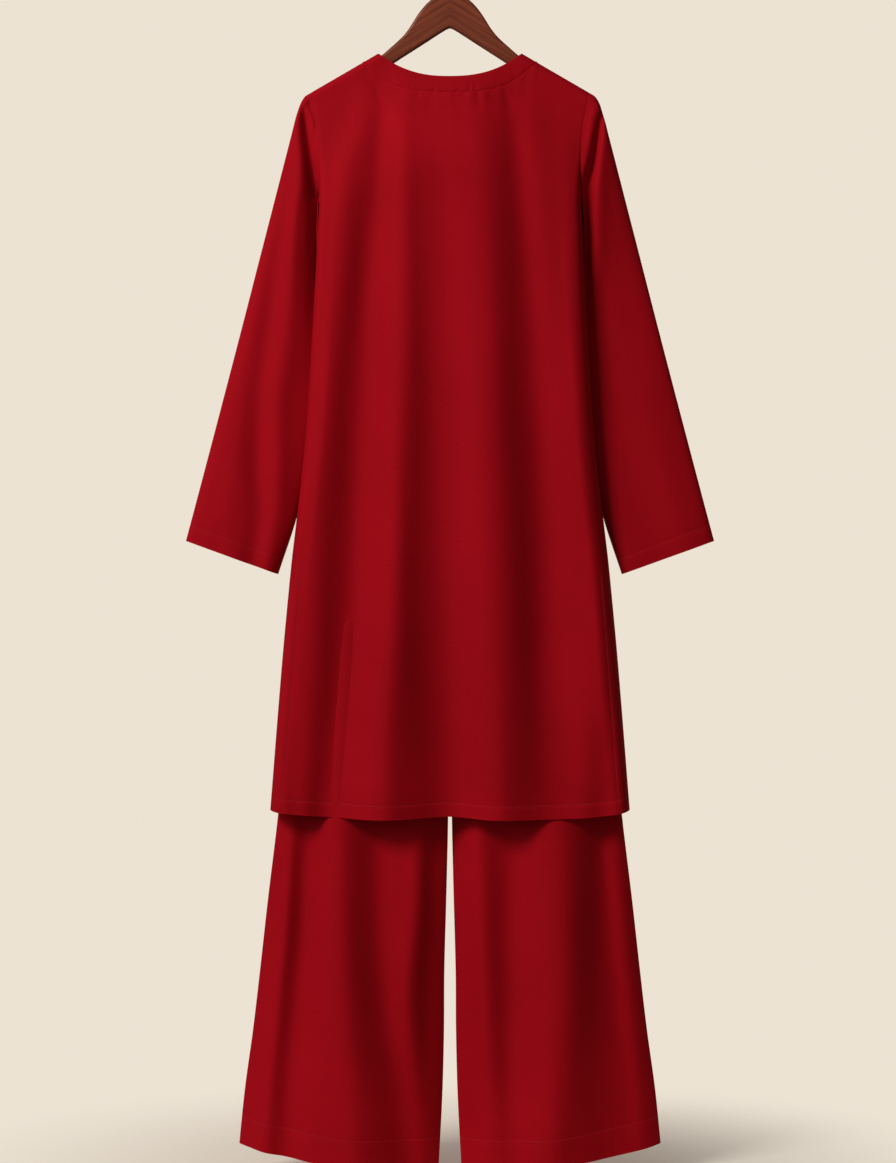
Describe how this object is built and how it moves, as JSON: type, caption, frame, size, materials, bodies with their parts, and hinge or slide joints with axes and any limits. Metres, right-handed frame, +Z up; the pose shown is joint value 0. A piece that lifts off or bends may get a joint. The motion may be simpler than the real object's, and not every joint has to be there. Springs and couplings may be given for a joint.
{
  "type": "kurta set on hanger",
  "caption": "Plain crimson kurta set, a long-sleeved kurta over wide trousers, hung on a wooden hanger, seen from the back.",
  "frame": {"origin": "the inside top of the hanger's hook, where a rail would carry it", "axes": "+Z up, the kurta's back faces -Y and its front +Y, and -X is the wearer's left"},
  "size_m": [0.7086, 0.1121, 1.6338],
  "materials": {
    "crimson_cloth": "matte",
    "satin_tape": "satin",
    "dark_wood": "gloss",
    "bright_steel": "polished"
  },
  "bodies": {
    "root": {"kurta_back": "crimson_cloth", "kurta_front": "crimson_cloth", "neck_band_back": "crimson_cloth", "neck_band_front": "crimson_cloth", "sleeve_left": "crimson_cloth", "sleeve_right": "crimson_cloth", "waistband": "crimson_cloth", "trouser_back_left": "crimson_cloth", "trouser_back_right": "crimson_cloth", "trouser_front_left": "crimson_cloth", "trouser_front_right": "crimson_cloth", "hanging_loop_left": "satin_tape", "hanging_loop_right": "satin_tape", "hanger_body": "dark_wood", "hanger_bar": "dark_wood", "hanger_hook": "bright_steel", "hook_collar": "bright_steel"}
  },
  "joints": []
}
